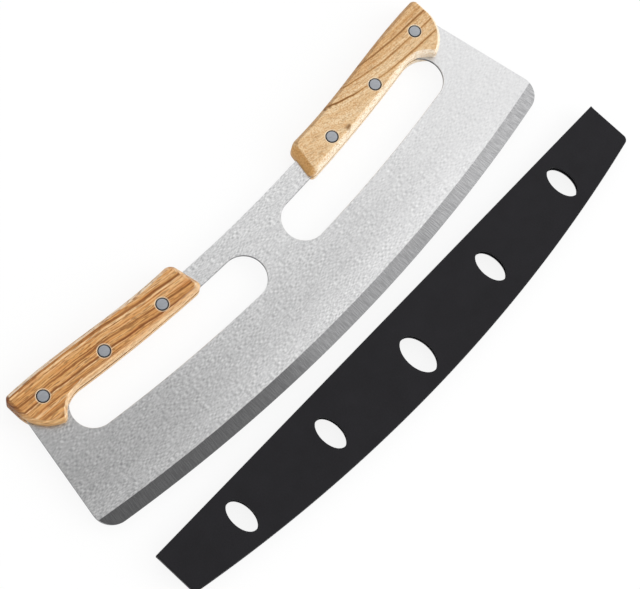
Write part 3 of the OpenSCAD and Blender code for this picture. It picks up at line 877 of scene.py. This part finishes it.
# The profile runs from the middle of the head to the end of the shank: radius, height and surface
def makeRivet(name, up, profile):
    sculpt = Sculpt()
    x, y = rivetSpots[name]
    last = None
    for radius, height, surface in profile:
        if radius == 0:
            ring = sculpt.ring([(x, y)], up * height) * rivet["sides"]
        else:
            ring = sculpt.ring(circle((x, y), radius, rivet["sides"]), up * height)
        if last:
            sculpt.join(last, ring, surface, material=int(surface == 2))  # the rim's dark metal is painted shade
        last = ring
    kind = "_pin" if up > 0 else "_socket"
    words = (name + kind).split("_")
    label = words[0] + "".join(w.capitalize() for w in words[1:])
    return sculpt.finish(label, "knife", [name + kind], rivetMetals)


def rivetHead():
    radius, rim = rivet["head"] / 2 - rivet["gap"], rivet["rim"]
    top = gripFace - rivet["sunk"]
    profile = [(radius * share, top + rise, 1) for share, rise in rivet["crown"]]
    profile.append((radius - rim, top, 1))
    for turn in quarterTurn:
        profile.append((radius - rim + rim * math.sin(turn), top - rim + rim * math.cos(turn), 2))
    return profile + [(radius, gripFace - rivet["headThickness"], 3)]


seatHeight = gripFace - rivet["headThickness"]
reachHeight = -seatHeight + rivet["play"]
for name in rivetNames:
    pin, shank = rivet["pin"] / 2, rivet["shank"] / 2
    makeRivet(name, 1, rivetHead() + [(pin, seatHeight, 4), (pin, reachHeight, 5), (0, reachHeight, 6)])
    makeRivet(name, -1, rivetHead() + [
        (shank, seatHeight, 4), (shank, reachHeight, 5), (pin, reachHeight, 6), (pin, seatHeight, 7),
        (0, seatHeight, 8)])

# Cover, in mm. Black polypropylene, moulded with a fine spark-eroded texture: matt, with a faint grain and
# edges that catch a little light.
cover = {
    "thickness": 4.8,
    "cavity": 2.8,
    "wall": 1.0,
    "floor": 1.2,
    "floorRadius": 915.4,  # inside, about the middle of the rocking curve
    "cornerRadius": 3.5,
    "edgeRound": 0.7,
    "rimRound": 0.2,
    "holePitch": 66.9,
    "middleHole": (15.4, 25.2),
    "otherHole": (12.3, 21.2),
    "holeDrop": 3.7,  # of the middle hole below the others' line
    "step": 2.4,
    "dark": "#151417",
    "light": "#201F23",
    "texture": 0.55,  # size of its grain, drawn as coarse as it shows
    "cloud": 18.0,  # size of the broad unevenness, and its share
    "cloudShare": 0.3,
    "band": (0.35, 0.65),  # of the noise between dark and light
    "roughness": (0.55, 0.75),
    "bump": (0.5, 0.00012),  # strength, and depth in m
}


def makeCoverPlastic():
    material, add = startMaterial("mouldedBlackPolypropylene")
    here = add("TexCoord").outputs["Object"]
    inMm = add("VectorMath", {0: here, "Scale": 1000.0}, operation="SCALE")
    fine, wide = (
        add("TexNoise", {"Vector": inMm, "Scale": 1 / size, "Detail": 2.0, "Roughness": 0.65})
        for size in (cover["texture"], cover["cloud"]))
    tone = add("Mix", {0: cover["cloudShare"], 2: fine, 3: wide})
    spread = add("MapRange", [tone, *cover["band"]])
    colour = add("Mix", {0: spread, 6: srgb(cover["dark"]), 7: srgb(cover["light"])}, data_type="RGBA")
    bump = add("Bump", {"Height": fine, "Strength": cover["bump"][0], "Distance": cover["bump"][1]})
    rough = add("MapRange", [fine, 0, 1, *cover["roughness"]])
    shader = add("BsdfPrincipled", {
        "Base Color": colour, "Roughness": rough, "IOR": 1.49, "Specular IOR Level": 0.22, "Normal": bump})
    add("OutputMaterial", {"Surface": shader})
    return material


# Anticlockwise loop from the mouth's left end round the floor to its right end, and back along the mouth
def coverLoop(half, radius, centreY, corner, mouthY, baseX):
    centreX = half - corner
    centre = (centreX, centreY - math.sqrt((radius - corner) ** 2 - centreX ** 2))
    start = math.degrees(math.atan2(centre[1] - centreY, centreX))
    count = round(math.radians(start + 90) * radius / cover["step"])
    right = arcPoints((0.0, centreY), radius, -90, start, count)[:-1]
    right += arcPoints(centre, corner, start, 0, 12)
    right += [(half, centre[1] + (mouthY - centre[1]) * i / 12) for i in range(1, 13)]
    around = mirrored(right)[:-1] + right
    mouth = [(half * (1 - i / 60), mouthY) for i in range(1, 120)]
    return [(x + baseX, y) for x, y in around], [(x + baseX, y) for x, y in mouth]


def ovalLoop(centre, size, count=72):
    turns = [math.radians(360 * i / count) for i in range(count)]
    return [(centre[0] + size[0] / 2 * math.cos(t), centre[1] + size[1] / 2 * math.sin(t)) for t in turns]


def makeCover():
    low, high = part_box("edge_cover")
    low, high = unplace(low), unplace(high)
    baseX, half, mouthY = (low.x + high.x) / 2, (high.x - low.x) / 2, high.y
    outerRadius = cover["floorRadius"] + cover["floor"]
    centreY = low.y + outerRadius
    around, mouth = coverLoop(half, outerRadius, centreY, cover["cornerRadius"], mouthY, baseX)
    inAround, inMouth = coverLoop(half - cover["wall"], cover["floorRadius"], centreY,
                                  cover["cornerRadius"] - cover["wall"], mouthY, baseX)
    holes = []
    for i in range(-2, 3):
        x = i * cover["holePitch"]
        depth = mouthY - centreY + math.sqrt(outerRadius ** 2 - x * x)
        drop = cover["holeDrop"] if i == 0 else 0.0
        shape = cover["middleHole"] if i == 0 else cover["otherHole"]
        holes.append(ovalLoop((baseX + x, mouthY - depth / 2 - drop), shape))
    outline, inner = around + mouth, inAround + inMouth
    rounds = [cover["edgeRound"]] * len(around) + [cover["rimRound"]] * len(mouth)
    rounds[0] = rounds[len(around) - 1] = cover["rimRound"]
    halfOut, halfIn = cover["thickness"] / 2, cover["cavity"] / 2
    rim, between = cover["rimRound"], 0.3 * cover["rimRound"]
    holeSteps = [(rim, halfOut), (between, halfOut - between), (0, halfOut - rim), (0, halfIn)]
    sculpt = Sculpt()
    sides = []
    for up in (1, -1):
        first = 10 if up > 0 else 20
        wall = sculpt.ring(outline, [up * (halfOut - r) for r in rounds])
        last = wall
        for turn in quarterTurn:
            inset = [r * (1 - math.cos(turn)) for r in rounds]
            heights = [up * (halfOut - r + r * math.sin(turn)) for r in rounds]
            ring = sculpt.ring(insetLoop(outline, inset), heights)
            sculpt.join(last, ring, first)
            last = ring
        loops = [last]
        ceiling = sculpt.ring(inner, up * halfIn)
        inLoops = [ceiling]
        for hole in holes:
            rings = [sculpt.ring(insetLoop(hole, -out), up * height) for out, height in holeSteps]
            sculpt.joinAll(rings, (first + 1, first + 1, first + 2))
            loops.append(rings[0])
            inLoops.append(rings[-1])
        sculpt.fill(loops, first + 3, (0, 0, up))
        sculpt.fill(inLoops, first + 4, (0, 0, -up))
        sides.append((wall, ceiling))
    lips = []
    for surface, last, (front, back) in zip((30, 31), (len(around), len(inAround)), zip(*sides)):
        sculpt.join(front[:last], back[:last], surface, closed=False)
        lips.append(front[last - 1:] + [front[0], back[0]] + back[last - 1:][::-1])
    sculpt.fill(lips, 32, (0, 1, 0))
    return sculpt.finish("edgeCoverShell", "cover", ["edge_cover"], [makeCoverPlastic()])


makeCover()

# Floor and light, in m. White studio paper, rolled smooth: an even white with no sheen, which keeps only the
# object's soft shadow.
stage = {
    "floorSize": 6.0,
    "floorDrop": 0.00005,  # keeps the paper off the backs of the grips, which lie on it
    "floor": "#EFEFEF",
    "glow": 0.86,  # share of the floor's white that the object's shadow doesn't reach
    "sky": 0.95,
    "skyTilt": (0.4, -0.4),  # how much brighter it is towards +X and +Y
    "mirrored": (0.0, 0.6, 0.62, 1.38),  # what the metal mirrors: from and to where in X, and its levels
    "horizon": (0.1, 0.5, 0.8, 1.0),  # the same by height
    "keyPower": 9.0,
    "keySize": (1.4, 0.9),
    "keyPlace": (1.0, -1.15, 0.7),
}


def makeStage(look):
    half, level = look["floorSize"] / 2, -look["floorDrop"]
    corners = [(-half, -half, level), (half, -half, level), (half, half, level), (-half, half, level)]
    mesh = bpy.data.meshes.new("studioFloor")
    mesh.from_pydata(corners, [], [(0, 1, 2, 3)])
    floor = bpy.data.objects.new("studioFloor", mesh)
    bpy.context.scene.collection.objects.link(floor)
    material, add = startMaterial("whitePaperFloor")
    paper = add("BsdfDiffuse", {"Color": srgb(look["floor"])})
    seen = add("BsdfDiffuse", {"Color": [1 - look["glow"]] * 3 + [1.0]})
    glow = add("Emission", {"Color": (1, 1, 1, 1), "Strength": look["glow"]})
    white = add("AddShader", [seen, glow])
    ray = add("LightPath").outputs
    direct = add("Math", [ray["Is Camera Ray"], ray["Is Glossy Ray"]], operation="MAXIMUM")
    direct = add("Math", [direct, ray["Is Transmission Ray"]], operation="MAXIMUM")
    mixed = add("MixShader", [direct, paper, white])
    add("OutputMaterial", {"Surface": mixed})
    mesh.materials.append(material)


def makeSky(look):
    world = bpy.data.worlds.new("studioSky")
    bpy.context.scene.world = world
    world.use_nodes = True
    world.node_tree.nodes.clear()
    add = partial(addNode, world.node_tree)
    around = add("TexCoord").outputs["Generated"]
    parts = add("SeparateXYZ", {"Vector": around}).outputs

    tilt = add("MapRange", [parts["X"], *look["mirrored"]], interpolation_type="SMOOTHSTEP")
    rise = add("MapRange", [parts["Z"], *look["horizon"]], interpolation_type="SMOOTHSTEP")
    reflected = add("Math", [tilt, rise], operation="MULTIPLY")
    soft = add("Math", [parts["X"], look["skyTilt"][0], 1.0], operation="MULTIPLY_ADD")
    soft = add("Math", [parts["Y"], look["skyTilt"][1], soft], operation="MULTIPLY_ADD")
    soft = add("Math", [soft, look["sky"]], operation="MULTIPLY")
    ray = add("LightPath").outputs
    level = add("Mix", {0: ray["Is Glossy Ray"], 2: soft, 3: reflected})
    sky = add("Background", {"Color": (1, 1, 1, 1), "Strength": level})
    white = add("Background", {"Color": (1, 1, 1, 1), "Strength": 1.0})
    mixed = add("MixShader", [ray["Is Camera Ray"], sky, white])
    add("OutputWorld", {"Surface": mixed})


def makeKeyLight(look):
    data = bpy.data.lights.new("keySoftbox", "AREA")
    data.shape = "RECTANGLE"
    data.size, data.size_y = look["keySize"]
    data.energy = look["keyPower"]
    light = bpy.data.objects.new("keySoftbox", data)
    light.location = look["keyPlace"]
    light.rotation_euler = (-light.location).to_track_quat("-Z", "Y").to_euler()
    light.visible_glossy = False  # the steel mirrors the even sky, not the lamp
    bpy.context.scene.collection.objects.link(light)


makeStage(stage)
makeSky(stage)
makeKeyLight(stage)
bpy.context.scene.view_settings.view_transform = "Standard"
print("stage and light set")
